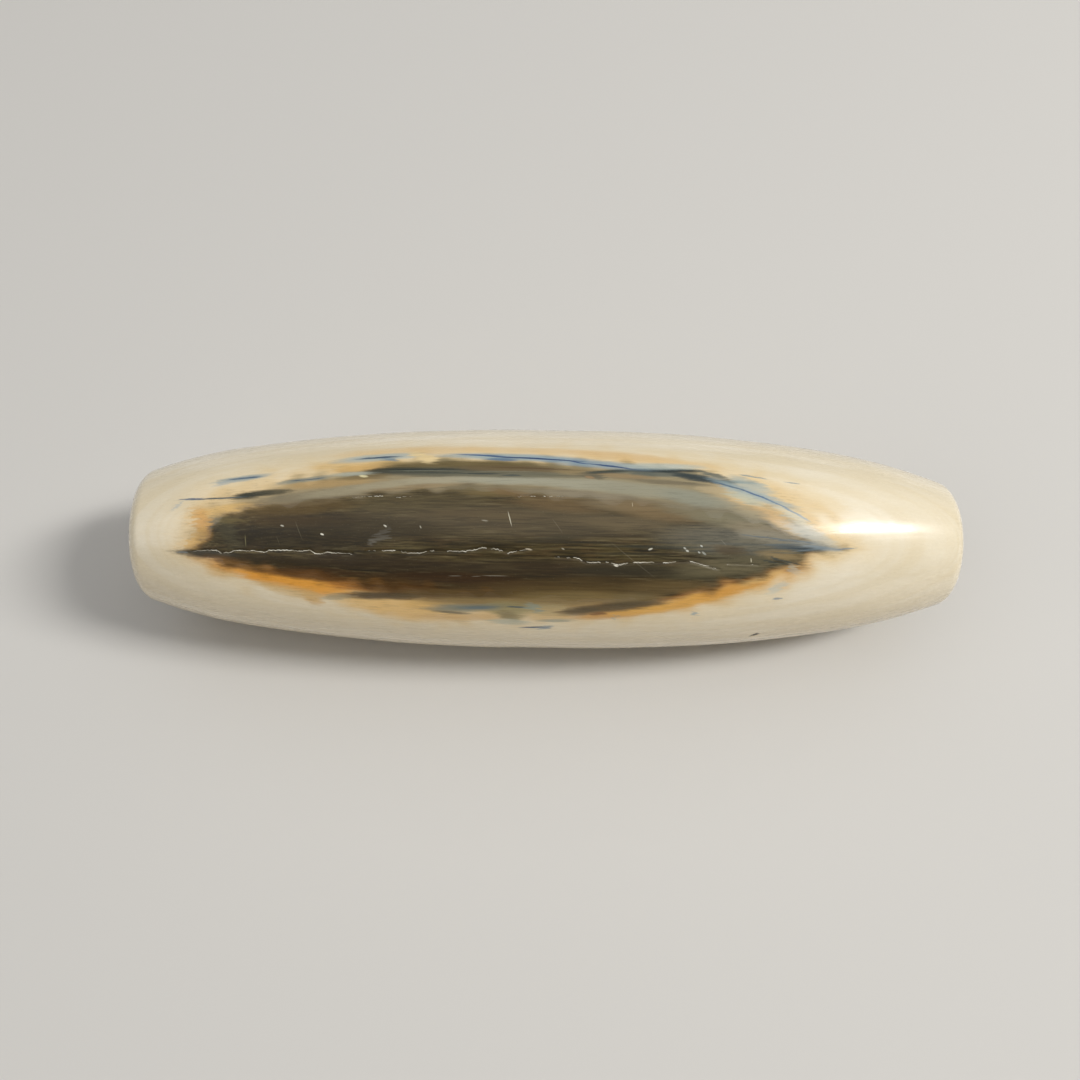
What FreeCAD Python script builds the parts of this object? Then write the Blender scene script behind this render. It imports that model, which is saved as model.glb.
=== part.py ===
"""Barrel bead turned from the rim of a mammoth tusk.

The bead is one turned piece, modelled as the natural materials that it is cut through:
pale dentine with the string bore, an inner layer of cementum stained amber and olive, the
dark outer bark, and pale mineral in the drying cracks of the bark.

Frame: origin at the middle of the bore, +X along the bore, +Z up. The bead lies on its side.
All sizes are in millimetres and all angles in degrees.
"""
import FreeCAD, Part
import math
import os
import Sketcher
from FreeCAD import Placement, Rotation, Vector

DIMENSIONS = {
    # the turned barrel: a flat crown, then a flank and a shoulder on each side
    "length": 54.0,
    "mid_diameter": 14.68,
    "crown_radius": 390.0,
    "left_flank_start": 2.9,
    "left_flank_radius": 120.0,
    "left_shoulder_start": 20.4,
    "left_shoulder_radius": 29.3,
    "right_flank_start": 4.0,
    "right_flank_radius": 103.0,
    "right_shoulder_start": 18.7,
    "right_shoulder_radius": 39.2,
    "edge_rounding": 0.8,
    "bore_diameter": 2.0,
    "bore_chamfer": 0.25,
    # the tusk's growth layers, which the barrel cuts through on one side
    "tusk_radius": 70.0,
    "dentine_height": 5.48,
    "outer_bark_height": 6.15,
    "tusk_tilt": 0.85,
    "patch_turn": 24.7,
    "tusk_stock_length": 70.0,
    # the drying cracks in the outer bark
    "crack_width": 0.16,
    "crack_depth": 0.35,
}

# Corners of each crack, as (x along the bead, y across the patch), seen square to the patch.
CRACKS = {
    "long_crack": [
        (-19.2, -1.45), (-17.6, -1.50), (-16.4, -1.30), (-14.3, -1.42), (-12.2, -1.40),
    ],
    "middle_crack": [
        (-11.2, -1.20), (-8.5, -1.32), (-6.0, -1.15), (-4.1, -0.94), (-2.4, -1.24), (-1.3, -1.04),
    ],
    "right_crack": [
        (0.4, -1.46), (2.2, -1.76), (4.0, -1.90), (6.5, -1.77), (8.4, -1.64), (10.0, -2.15),
    ],
}

SKETCH_ORIGIN = -1
ORIGIN_POINT = (SKETCH_ORIGIN, 1)
VERTICAL_AXIS = -2
START, END, CENTRE = 1, 2, 3

doc = FreeCAD.newDocument("barrel_bead")


def make_sheet():
    """Write every driving dimension to the sheet as a plain number with an alias."""
    sheet = doc.addObject("Spreadsheet::Sheet", "Dimensions")
    for row, (alias, value) in enumerate(DIMENSIONS.items(), start=1):
        sheet.set(f"A{row}", alias)
        sheet.set(f"B{row}", str(value))
        sheet.setAlias(f"B{row}", alias)
    doc.recompute()
    return sheet


def origin_feature(body, role):
    """Return one of a body's own origin planes or axes."""
    return next(item for item in body.Origin.OriginFeatures if item.Role == role)


def arc_chain(size, side):
    """Flank and shoulder arcs of one side, as (centre, radius, start, end) from the crown out.

    Each arc starts where the one before it ends, with the same tangent. The last one ends
    where the edge rounding takes over, and the rounding's own centre comes back with it.
    """
    prefix = "left" if side < 0 else "right"
    half_length = size["length"] / 2
    crown = Vector(0, size["mid_diameter"] / 2 - size["crown_radius"], 0)
    flank_x = size[f"{prefix}_flank_start"]
    shoulder_x = size[f"{prefix}_shoulder_start"]
    flank_radius = size[f"{prefix}_flank_radius"]
    shoulder_radius = size[f"{prefix}_shoulder_radius"]
    rounding = size["edge_rounding"]

    def point_on(centre, radius, x):
        return Vector(x, centre.y + math.sqrt(radius**2 - (x - centre.x)**2), 0)

    def next_centre(centre, point, radius):
        return point + (centre - point).normalize() * radius

    flank_point = point_on(crown, size["crown_radius"], flank_x)
    flank = next_centre(crown, flank_point, flank_radius)
    shoulder_point = point_on(flank, flank_radius, shoulder_x)
    shoulder = next_centre(flank, shoulder_point, shoulder_radius)
    rounding_centre = point_on(shoulder, shoulder_radius - rounding, half_length - rounding)
    rounding_point = shoulder + (rounding_centre - shoulder).normalize() * shoulder_radius
    points = [flank, flank_point, shoulder, shoulder_point, rounding_centre, rounding_point]
    return [Vector(side * point.x, point.y, 0) for point in points]


def arc_between(centre, first, second):
    """Arc about a centre that runs counter-clockwise from the first point to the second."""
    circle = Part.Circle(centre, Vector(0, 0, 1), (first - centre).Length)
    return Part.ArcOfCircle(circle, circle.parameter(first), circle.parameter(second))


def make_barrel(sheet):
    """Turned blank: half of the barrel's section with the bore, revolved about the bore."""
    size = {alias: getattr(sheet, alias) for alias in DIMENSIONS}
    half_length = size["length"] / 2
    bore_radius = size["bore_diameter"] / 2
    chamfer = size["bore_chamfer"]
    rounding = size["edge_rounding"]

    body = doc.addObject("PartDesign::Body", "barrel_blank")
    sketch = body.newObject("Sketcher::SketchObject", "half_section")
    sketch.AttachmentSupport = [(origin_feature(body, "XZ_Plane"), "")]
    sketch.MapMode = "FlatFace"

    left = arc_chain(size, -1)
    right = arc_chain(size, 1)
    crown_centre = Vector(0, size["mid_diameter"] / 2 - size["crown_radius"], 0)
    left_end = Vector(-half_length, left[4].y, 0)
    right_end = Vector(half_length, right[4].y, 0)
    mouth = bore_radius + chamfer
    left_mouth = Vector(-half_length, mouth, 0)
    right_mouth = Vector(half_length, mouth, 0)
    left_bore = Vector(-half_length + chamfer, bore_radius, 0)
    right_bore = Vector(half_length - chamfer, bore_radius, 0)

    # counter-clockwise arcs, from the right end over the crown to the left end
    arcs = {
        "right_rounding": arc_between(right[4], right_end, right[5]),
        "right_shoulder": arc_between(right[2], right[5], right[3]),
        "right_flank": arc_between(right[0], right[3], right[1]),
        "crown": arc_between(crown_centre, right[1], left[1]),
        "left_flank": arc_between(left[0], left[1], left[3]),
        "left_shoulder": arc_between(left[2], left[3], left[5]),
        "left_rounding": arc_between(left[4], left[5], left_end),
    }
    lines = {
        "left_face": Part.LineSegment(left_end, left_mouth),
        "left_chamfer": Part.LineSegment(left_mouth, left_bore),
        "bore_wall": Part.LineSegment(left_bore, right_bore),
        "right_chamfer": Part.LineSegment(right_bore, right_mouth),
        "right_face": Part.LineSegment(right_mouth, right_end),
    }
    index = {}
    for name, curve in list(arcs.items()) + list(lines.items()):
        index[name] = sketch.addGeometry(curve, False)

    def fix(*constraint, expression=None):
        number = sketch.addConstraint(Sketcher.Constraint(*constraint))
        if expression:
            sketch.setExpression(f"Constraints[{number}]", expression)

    smooth = list(arcs) + ["left_face"]
    for first, second in zip(smooth, smooth[1:]):
        fix("Tangent", index[first], END, index[second], START)
    fix("Tangent", index["right_face"], END, index["right_rounding"], START)
    sharp = list(lines)
    for first, second in zip(sharp, sharp[1:]):
        fix("Coincident", index[first], END, index[second], START)

    fix("Vertical", index["left_face"])
    fix("Vertical", index["right_face"])
    fix("Horizontal", index["bore_wall"])
    fix("PointOnObject", index["crown"], CENTRE, VERTICAL_AXIS)
    fix("Radius", index["crown"], size["crown_radius"], expression="Dimensions.crown_radius")
    fix("DistanceY", index["crown"], CENTRE, *ORIGIN_POINT, -crown_centre.y,
        expression="Dimensions.crown_radius - Dimensions.mid_diameter / 2")
    for side, points in (("left", left), ("right", right)):
        for part, point in (("flank", points[1]), ("shoulder", points[3])):
            radius = size[f"{side}_{part}_radius"]
            fix("Radius", index[f"{side}_{part}"], radius,
                expression=f"Dimensions.{side}_{part}_radius")
            where = (index[f"{side}_{part}"], START if side == "left" else END)
            ends = where + ORIGIN_POINT if side == "left" else ORIGIN_POINT + where
            fix("DistanceX", *ends, abs(point.x), expression=f"Dimensions.{side}_{part}_start")
        fix("Radius", index[f"{side}_rounding"], rounding, expression="Dimensions.edge_rounding")
    half = "Dimensions.length / 2"
    fix("DistanceX", index["left_face"], END, *ORIGIN_POINT, half_length, expression=half)
    fix("DistanceX", *ORIGIN_POINT, index["right_face"], START, half_length, expression=half)
    for place in ((index["left_face"], END), (index["right_face"], START)):
        fix("DistanceY", *ORIGIN_POINT, *place, mouth,
            expression="Dimensions.bore_diameter / 2 + Dimensions.bore_chamfer")
    fix("DistanceY", *ORIGIN_POINT, index["bore_wall"], START, bore_radius,
        expression="Dimensions.bore_diameter / 2")
    inner = "Dimensions.length / 2 - Dimensions.bore_chamfer"
    fix("DistanceX", index["bore_wall"], START, *ORIGIN_POINT, half_length - chamfer,
        expression=inner)
    fix("DistanceX", *ORIGIN_POINT, index["bore_wall"], END, half_length - chamfer,
        expression=inner)
    doc.recompute()

    turning = body.newObject("PartDesign::Revolution", "turned_barrel")
    turning.Profile = sketch
    turning.ReferenceAxis = (sketch, ["H_Axis"])
    turning.Angle = 360
    body.Tip = turning
    doc.recompute()
    return body


def patch_rotation(sheet, tilted):
    """Turn about the bore that brings +Z to the middle of the patch, then the tusk's tilt."""
    turn = Rotation(Vector(1, 0, 0), sheet.patch_turn)
    tilt = Rotation(Vector(0, 1, 0), -sheet.tusk_tilt if tilted else 0)
    return turn * tilt


def growth_layer(sheet, name, height):
    """Solid tusk inside one growth layer; its surface passes the given height over the bore."""
    layer = doc.addObject("Part::Cylinder", name)
    layer.setExpression("Radius", "Dimensions.tusk_radius")
    layer.setExpression("Height", "Dimensions.tusk_stock_length")
    depth = getattr(sheet, height) - sheet.tusk_radius
    along_bead = Rotation(Vector(0, 1, 0), 90)
    start = Vector(-sheet.tusk_stock_length / 2, 0, depth)
    lying = Placement(start, along_bead)
    layer.Placement = Placement(Vector(), patch_rotation(sheet, True)) * lying
    return layer


def boolean(kind, name, base, tool):
    """Part::Cut or Part::Common of two objects."""
    feature = doc.addObject(kind, name)
    feature.Base = base
    feature.Tool = tool
    doc.recompute()
    return feature


def ribbon_outline(corners, width):
    """Closed outline of one crack: full width along its middle, pointed at both ends."""
    first, *between, last = [Vector(x, y, 0) for x, y in corners]
    half_width = Vector(0, width / 2, 0)
    lower = [point - half_width for point in between]
    upper = [point + half_width for point in between]
    return [first] + lower + [last] + upper[::-1]


def make_crack_bed(sheet, blank):
    """Thin curtains that follow the cracks, kept only within the crack depth of the skin."""
    curtains = []
    for name, corners in CRACKS.items():
        outline = ribbon_outline(corners, sheet.crack_width)
        curtain = doc.addObject("Part::Feature", name)
        face = Part.Face(Part.makePolygon(outline + outline[:1]))
        curtain.Shape = face.extrude(Vector(0, 0, sheet.mid_diameter))
        curtain.Placement = Placement(Vector(), patch_rotation(sheet, False))
        curtains.append(curtain)
    curtain_group = doc.addObject("Part::MultiFuse", "crack_curtains")
    curtain_group.Shapes = curtains

    core = doc.addObject("Part::Feature", "core_below_cracks")
    shrink = 1 - 2 * sheet.crack_depth / sheet.mid_diameter
    thinner = FreeCAD.Matrix()
    thinner.scale(1, shrink, shrink)
    core.Shape = blank.Shape.Solids[0].transformGeometry(thinner)
    doc.recompute()
    return boolean("Part::Cut", "crack_bed", curtain_group, core)


def check_document():
    """Stop if any object of the document failed to recompute."""
    for item in doc.Objects:
        if "Invalid" in item.State or "Error" in item.State:
            raise RuntimeError(f"{item.Label} failed: {item.State}")


def write_parts(nodes):
    """Check every sub-part's shape and write it as one STEP file."""
    os.makedirs("parts", exist_ok=True)
    for name, feature in nodes.items():
        feature.Label = name
        shape = feature.Shape
        if shape.isNull() or not shape.isValid() or not shape.Solids:
            raise RuntimeError(f"{name} has no valid solid")
        print(f"{name}: {len(shape.Solids)} solids, {shape.Volume:.3f} mm3")
    for name, feature in nodes.items():
        feature.Shape.exportStep(f"parts/{name}.step")


def main():
    sheet = make_sheet()
    blank = make_barrel(sheet)
    dentine_tusk = growth_layer(sheet, "tusk_to_dentine", "dentine_height")
    cementum_tusk = growth_layer(sheet, "tusk_to_inner_cementum", "outer_bark_height")
    doc.recompute()

    dentine = boolean("Part::Common", "dentine", blank, dentine_tusk)
    rind = boolean("Part::Cut", "rind", blank, dentine_tusk)
    inner = boolean("Part::Common", "inner", rind, cementum_tusk)
    bark = boolean("Part::Cut", "bark", rind, cementum_tusk)
    crack_bed = make_crack_bed(sheet, blank)
    cracked_bark = boolean("Part::Cut", "cracked_bark", bark, crack_bed)
    crack_mineral = boolean("Part::Common", "crack_mineral", bark, crack_bed)
    check_document()

    nodes = {
        "dentine_body": dentine,
        "inner_cementum": inner,
        "outer_bark": cracked_bark,
        "crack_filling": crack_mineral,
    }
    total = sum(feature.Shape.Volume for feature in nodes.values())
    if abs(total - blank.Shape.Volume) > 0.001 * blank.Shape.Volume:
        raise RuntimeError(f"the zones hold {total:.2f} mm3 of {blank.Shape.Volume:.2f} mm3")
    write_parts(nodes)


main()
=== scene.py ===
"""Looks of a polished mammoth-ivory barrel bead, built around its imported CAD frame.

The bead is one turned piece that cuts through the tusk's natural layers. Each layer's CAD node
is replaced by a finely divided mesh of the same zone: pale dentine, stained cementum, dark bark,
and the pale mineral in the bark's drying cracks. The meshes share one surface grid, so that the
zones meet exactly, and one procedural pattern, so that colours fade across the joins.

Places on the surface are given as (x, a): x is along the bore in millimetres, from the bead's
middle, and a is the angle round the bore in degrees, from the direction that PATCH_TURN sets,
positive towards the front (-Y).
"""
import math

import bpy
import numpy as np
from mathutils import Matrix, Quaternion, Vector
from mathutils.kdtree import KDTree


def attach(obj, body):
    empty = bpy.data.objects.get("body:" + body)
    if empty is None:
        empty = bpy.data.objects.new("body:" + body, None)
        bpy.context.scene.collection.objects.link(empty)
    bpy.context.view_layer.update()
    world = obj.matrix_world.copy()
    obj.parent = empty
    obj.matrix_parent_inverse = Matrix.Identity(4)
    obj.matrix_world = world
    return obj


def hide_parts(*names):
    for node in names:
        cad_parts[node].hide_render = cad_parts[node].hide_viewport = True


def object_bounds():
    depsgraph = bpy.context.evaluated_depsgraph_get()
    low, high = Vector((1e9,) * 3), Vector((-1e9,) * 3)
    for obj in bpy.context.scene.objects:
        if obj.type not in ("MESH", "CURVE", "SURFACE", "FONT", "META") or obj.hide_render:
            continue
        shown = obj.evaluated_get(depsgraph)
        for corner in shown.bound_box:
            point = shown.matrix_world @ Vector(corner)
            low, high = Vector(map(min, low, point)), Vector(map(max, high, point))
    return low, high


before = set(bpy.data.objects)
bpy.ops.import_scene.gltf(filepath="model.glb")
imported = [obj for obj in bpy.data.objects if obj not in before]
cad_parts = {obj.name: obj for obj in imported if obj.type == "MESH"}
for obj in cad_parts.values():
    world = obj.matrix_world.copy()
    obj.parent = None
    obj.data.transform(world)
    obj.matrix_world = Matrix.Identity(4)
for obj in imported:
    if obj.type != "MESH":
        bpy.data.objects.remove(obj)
CAD_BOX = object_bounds()

MM = 0.001
HALF_LENGTH = CAD_BOX[1].x / MM
MID_RADIUS = CAD_BOX[1].z / MM
FLOOR_Z = CAD_BOX[0].z
FACET = math.radians(MID_RADIUS)            # millimetres of skin per degree of a
PATCH_TURN = 27.4                           # from straight up to a = 0, towards the front

# the barrel's section: a flat crown, then a flank and a shoulder on each side, as (start, radius)
CROWN_RADIUS = 390.0
LEFT_ARCS = [(2.9, 120.0), (20.4, 29.3)]
RIGHT_ARCS = [(4.0, 103.0), (18.7, 39.2)]
EDGE_ROUNDING = 0.8
BORE_RADIUS = 1.0
BORE_CHAMFER = 0.25

TUSK_AXIS_DEPTH = 64.5                      # from the bead's axis down to the tusk's
ROOT_BODY = "root"

# relief of the skin, and of the layers under it
POLISH_RIPPLE = 0.011
POLISH_HOLLOW = 0.012                       # how far the polished skin lies inside the barrel, about
GRAIN_RIPPLE = 0.0007
END_HOLLOW = 0.012                          # how far each end face is dished
LAYER_SLOPE = 0.4                           # least depth for each millimetre in from the outline
BARK_LEAST_DEPTH = 0.12
BARK_SHARE_OF_PATCH = 0.85                  # most of the whole patch's depth that the bark takes
BARK_INSET = 0.3                            # least way from the patch's edge to the bark
PINCH_OPENING = 0.02


# ---------------------------------------------------------------- shape of the turned skin

def arc_radius(x, arcs):
    """Skin radius at a distance x from the middle, along arcs that run on tangent to each other."""
    centre_x, centre_r, radius = 0.0, MID_RADIUS - CROWN_RADIUS, CROWN_RADIUS
    result = centre_r + np.sqrt(radius**2 - (x - centre_x)**2)
    for start, next_radius in arcs:
        lean = math.asin((start - centre_x) / radius)
        start_r = centre_r + radius * math.cos(lean)
        centre_x = start - next_radius * math.sin(lean)
        centre_r = start_r - next_radius * math.cos(lean)
        radius = next_radius
        reach = np.clip(x - centre_x, -radius, radius)
        result = np.where(x > start, centre_r + np.sqrt(radius**2 - reach**2), result)
    return result


def barrel_radius(x):
    return np.where(x < 0, arc_radius(-x, LEFT_ARCS), arc_radius(x, RIGHT_ARCS))


def smooth_curve(points, x):
    """Smooth curve through given points, by Catmull-Rom between them."""
    px, py = np.array(points, float).T
    slope = np.gradient(py, px)
    i = np.clip(np.searchsorted(px, x) - 1, 0, len(px) - 2)
    width = px[i + 1] - px[i]
    u = np.clip((x - px[i]) / width, 0, 1)
    h1, h2 = 2 * u**3 - 3 * u**2 + 1, u**3 - 2 * u**2 + u
    h3, h4 = 3 * u**2 - 2 * u**3, u**3 - u**2
    return h1 * py[i] + h2 * width * slope[i] + h3 * py[i + 1] + h4 * width * slope[i + 1]


class Waves:
    """Repeatable smooth noise over (x, a): a sum of plane waves with seeded directions."""

    def __init__(self, seed, count, wavelength_x, wavelength_s):
        draw = np.random.default_rng(seed)
        spread = draw.uniform(0.6, 1.7, (2, count))
        turn = draw.choice([-1, 1], count)
        self.kx = 2 * np.pi / (wavelength_x * spread[0])
        # a whole number of waves round the bead, so that the noise closes on itself
        around = 2 * np.pi * MID_RADIUS
        self.ka = turn * np.maximum(1, np.round(around / (wavelength_s * spread[1])))
        self.phase = draw.uniform(0, 2 * np.pi, count)
        self.gain = 1 / math.sqrt(count / 2)

    def __call__(self, x, a):
        total = np.zeros(np.broadcast(x, a).shape)
        for kx, ka, phase in zip(self.kx, self.ka, self.phase):
            total += np.sin(kx * x + ka * np.radians(a) + phase)
        return total * self.gain


HAND_POLISH = Waves(11, 14, 9.0, 7.0)
GRAIN_GROOVES = Waves(12, 24, 6.0, 0.55)
BOUNDARY_WANDER = Waves(13, 18, 2.4, 2.4)


TIP_FADE = 2.0                              # length over which an outline's wander dies away


def to_curve(points, x, a):
    """Distance over the skin from a curve a(x), square to it, positive towards the front."""
    step = 0.05
    lean = (smooth_curve(points, x + step) - smooth_curve(points, x - step)) / (2 * step) * FACET
    return (a - smooth_curve(points, x)) * FACET / np.sqrt(1 + lean**2)


class Outline:
    """Outline of a stained zone: its upper and lower curve from tip to tip, and how far it strays."""

    def __init__(self, upper, lower, wander):
        self.upper, self.lower, self.wander = upper, lower, wander

    def from_tip(self, x):
        return np.minimum(x - self.upper[0][0], self.upper[-1][0] - x)

    def wandering(self, within, x, a):
        """The distance in from the curves, with a natural wander that fades out at the tips."""
        fade = np.clip(self.from_tip(x) / TIP_FADE, 0, 1)
        return within + self.wander * fade * BOUNDARY_WANDER(x, a)

    def inside(self, x, a):
        """Millimetres in from the outline, negative outside it."""
        across = np.minimum(to_curve(self.upper, x, a), -to_curve(self.lower, x, a))
        return self.wandering(np.minimum(across, self.from_tip(x)), x, a)

    def stain_field(self, x, a):
        """Like inside, but by the straight way over the skin, so it has no creases at the tips."""
        stations = np.linspace(self.upper[0][0], self.upper[-1][0], 1600)
        tree = KDTree(2 * len(stations))
        for curve in (self.upper, self.lower):
            for place_x, place_a in zip(stations, smooth_curve(curve, stations)):
                tree.insert((place_x, place_a * FACET, 0), 0)
        tree.balance()
        corners = zip(x.ravel().tolist(), (a * FACET).ravel().tolist())
        away = np.array([tree.find((*corner, 0))[2] for corner in corners]).reshape(x.shape)
        enclosed = (a > smooth_curve(self.upper, x)) & (a < smooth_curve(self.lower, x))
        return self.wandering(np.where(enclosed & (self.from_tip(x) > 0), away, -away), x, a)

    def depth(self, x, a):
        """How far the layer reaches in under the skin: a flat cap cut from a round bar."""
        top, bottom = smooth_curve(self.upper, x), smooth_curve(self.lower, x)
        half = np.maximum((bottom - top) / 2, 0.01)
        u = np.clip((a - (top + bottom) / 2) / half, -1, 1)
        return barrel_radius(x) * (1 - np.cos(np.radians(half))) * (1 - u**2)


# the whole patch, out to its edge on the dentine, and the dark bark inside it
PATCH = Outline(
    upper=[(-23.6, 11), (-23.3, 2), (-22.9, -12), (-22.3, -22), (-20.5, -30), (-16, -38), (-10, -46.5),
           (-4, -48), (3, -45.5), (9, -41), (13, -35), (16, -24), (18, -10), (19.4, 3)],
    lower=[(-23.6, 11), (-22.6, 16), (-21, 22), (-18, 30), (-13, 39), (-8, 45), (-2, 45), (4, 42.5),
           (9, 36), (13, 27), (15.5, 16), (17.5, 9), (19.4, 3)],
    wander=0.22)
BARK = Outline(
    upper=[(-23.0, 11.6), (-22, 7.5), (-21.2, 0), (-20.7, -9), (-19.6, -13), (-15, -19), (-10, -23),
           (-5, -24), (0, -21), (5, -18), (10, -14), (13.5, -8), (16, -1), (18.4, 3.4)],
    lower=[(-23.0, 11.6), (-21.8, 13), (-20.4, 15.6), (-18, 18.8), (-14, 22), (-9, 26), (-3, 29),
           (3, 30), (7.5, 29), (11, 22), (13.5, 16.5), (15.4, 12.5), (16.5, 6.5), (18.4, 3.4)],
    wander=0.16)


def skin_radius(x, a):
    """Barrel with its rounded ends, hand polishing and grain."""
    from_end = HALF_LENGTH - np.abs(x)
    curl = np.clip(EDGE_ROUNDING - from_end, 0, EDGE_ROUNDING)
    rounding = EDGE_ROUNDING - np.sqrt(EDGE_ROUNDING**2 - curl**2)
    fade = np.clip(from_end / 3, 0, 1)
    polish = POLISH_RIPPLE * (1 + np.tanh(HAND_POLISH(x, a))) * fade
    grain = GRAIN_RIPPLE * (1 + np.clip(GRAIN_GROOVES(x, a), -1, None)) * fade
    return barrel_radius(x) - rounding - polish - grain - groove_depth(x, a)


# ---------------------------------------------------------------- cracks, gouge and chips

# each crack's width, the share of it that is bare of mineral, and its corners
CRACKS = [
    (0.075, 0.12, [(-22.3, 10.6), (-21.3, 9.5), (-20.8, 9.3), (-20.5, 10.8), (-19.9, 10.6), (-19.6, 9.0),
                   (-18.4, 8.8), (-17.7, 9.5), (-17.4, 8.2), (-16.3, 7.8), (-15.4, 8.3), (-14.8, 7.3),
                   (-14.5, 9.2), (-14.1, 9.3), (-13.8, 8.4), (-12.2, 8.7)]),
    (0.06, 0.24, [(-11.2, 6.9), (-9.5, 6.6), (-8.8, 7.7), (-8.0, 7.8), (-7.5, 6.6), (-6.6, 6.4), (-5.6, 6.6),
                  (-4.8, 5.9), (-4.1, 4.5), (-3.2, 5.3), (-2.6, 7.0), (-2.0, 5.7), (-1.3, 5.0)]),
    (0.06, 0.40, [(0.3, 8.6), (1.7, 9.3), (2.2, 11.2), (3.6, 11.0), (4.1, 12.3), (5.2, 10.9), (7.0, 11.1),
                  (8.5, 10.3), (9.2, 11.6), (10.4, 14.4)]),
    (0.045, 0.45, [(-12.4, -20.3), (-11.4, -21.2), (-10.3, -21.3), (-9.6, -20.4), (-8.6, -20.8)]),
    (0.05, 0.35, [(-2.2, -20.7), (-1.1, -21.2), (-0.4, -20.9), (0.7, -21.3)]),
    (0.03, 0.62, [(10.9, 11.6), (11.8, 12.0), (12.8, 12.2)]),
]
WIDEST_CRACK = CRACKS[0][0]
GROOVE_REACH = 0.070                        # in the widest crack, besides the least reach of any
GROOVE_LEAST_REACH = 0.02
GROOVE_DEPTH = 0.075
FILLING_TOP = 0.018                         # how far the mineral's top lies under the skin
FILLING_CROWN = 0.02                        # how much further its sides do
FILLING_DEPTH = 0.33
FILLING_STEP = 0.06                         # between its stations along a crack
FILLING_JITTER = (0.012, 0.024)             # of its stations, along x and round the bead
FILLING_KNOTS = 0.2                         # between changes of its width
FILLING_TAPER = 1.4                         # how far its ends take to reach full width

# a knocked gouge near the right end, and small chips in the bark: start, end, half-width, depth
GOUGES = [((13.28, 65.6), (13.62, 63.0), 0.08, 0.10), ((-11.72, -33.4), (-11.62, -33.0), 0.13, 0.03),
          ((8.3, 4.8), (8.5, 3.7), 0.07, 0.03), ((9.15, 2.0), (9.2, 2.6), 0.06, 0.03),
          ((9.3, 5.6), (9.5, 7.0), 0.06, 0.03), ((-14.1, -1.3), (-14.0, -1.1), 0.06, 0.03),
          ((-16.6, -5.8), (-16.5, -5.5), 0.06, 0.03), ((-10.2, -5.9), (-10.1, -5.5), 0.06, 0.03),
          ((6.05, 4.4), (6.15, 4.2), 0.06, 0.03), ((-2.62, -12.4), (-2.42, -6.6), 0.04, 0.02),
          ((12.4, 9.2), (12.4, 10.4), 0.04, 0.02)]


def segment_distance(x, a, start, end):
    """Distance over the skin, in millimetres, from (x, a) to a straight scratch."""
    start = np.array([start[0], start[1] * FACET])
    way = np.array([end[0], end[1] * FACET]) - start
    from_start = np.stack([x - start[0], a * FACET - start[1]], -1)
    share = np.clip(from_start @ way / (way @ way), 0, 1)
    return np.linalg.norm(from_start - share[..., None] * way, axis=-1)


def groove_depth(x, a):
    """Depth of the cracks, gouges and chips at each place."""
    depth = np.zeros(np.broadcast(x, a).shape)
    for crack_width, _, corners in CRACKS:
        reach = GROOVE_REACH * crack_width / WIDEST_CRACK + GROOVE_LEAST_REACH
        for start, end in zip(corners, corners[1:]):
            near = np.exp(-(segment_distance(x, a, start, end) / reach)**2)
            depth = np.maximum(depth, GROOVE_DEPTH * near)
    for start, end, width, deep in GOUGES:
        depth = np.maximum(depth, deep * np.exp(-(segment_distance(x, a, start, end) / width)**2))
    return depth


# ---------------------------------------------------------------- the surface grid

def spaced(stops):
    """Values that run through (start, step) stretches up to the last stop's start."""
    parts = []
    for (start, step), (end, _) in zip(stops, stops[1:]):
        parts.append(np.linspace(start, end, max(2, round((end - start) / step) + 1))[:-1])
    return np.concatenate(parts)


def grid_lines():
    """x stations from face to face, and angles once round: close in the patch, wider behind it."""
    turn = np.linspace(0, math.pi / 2, 9)
    curl = EDGE_ROUNDING * (1 - np.cos(turn))[:-1]
    inner = HALF_LENGTH - EDGE_ROUNDING
    barrel = np.linspace(-inner, inner, 396)
    x = np.concatenate([-HALF_LENGTH + curl, barrel, (HALF_LENGTH - curl)[::-1]])
    a = spaced([(-180, 3.2), (-54, 1.05), (-23, 0.9), (2, 0.42), (15, 0.95), (50, 1.2), (60, 0.7), (69, 3.2),
                (180, 1)])
    return x, a


def snap_to_outline(x, a, level):
    """Move the grid points next to an outline onto it, so that no cell is cut by it."""
    nearest = np.full(x.shape, 0.5)
    shift_x, shift_a = np.zeros(x.shape), np.zeros(x.shape)
    for axis in (0, 1):
        for step in (1, -1):
            beyond = np.roll(level, step, axis)
            crossed = level * beyond < 0
            share = np.where(crossed, level / np.where(crossed, level - beyond, 1), 1)
            take = crossed & (share <= nearest)
            shift_x = np.where(take, share * (np.roll(x, step, axis) - x), shift_x)
            shift_a = np.where(take, share * (np.roll(a, step, axis) - a), shift_a)
            nearest = np.where(take, share, nearest)
    moved = (shift_x != 0) | (shift_a != 0)
    x += shift_x
    a += shift_a
    level[moved] = 0


def open_pinches(level):
    """Raise one end of any grid edge that lies on the outline with the layer on both its sides."""
    for axis in (0, 1):
        beyond = np.roll(level, -1, axis)
        sides = [np.maximum(np.roll(level, step, 1 - axis), np.roll(beyond, step, 1 - axis)) > 0
                 for step in (1, -1)]
        level[(level == 0) & (beyond == 0) & sides[0] & sides[1]] = PINCH_OPENING


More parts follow.
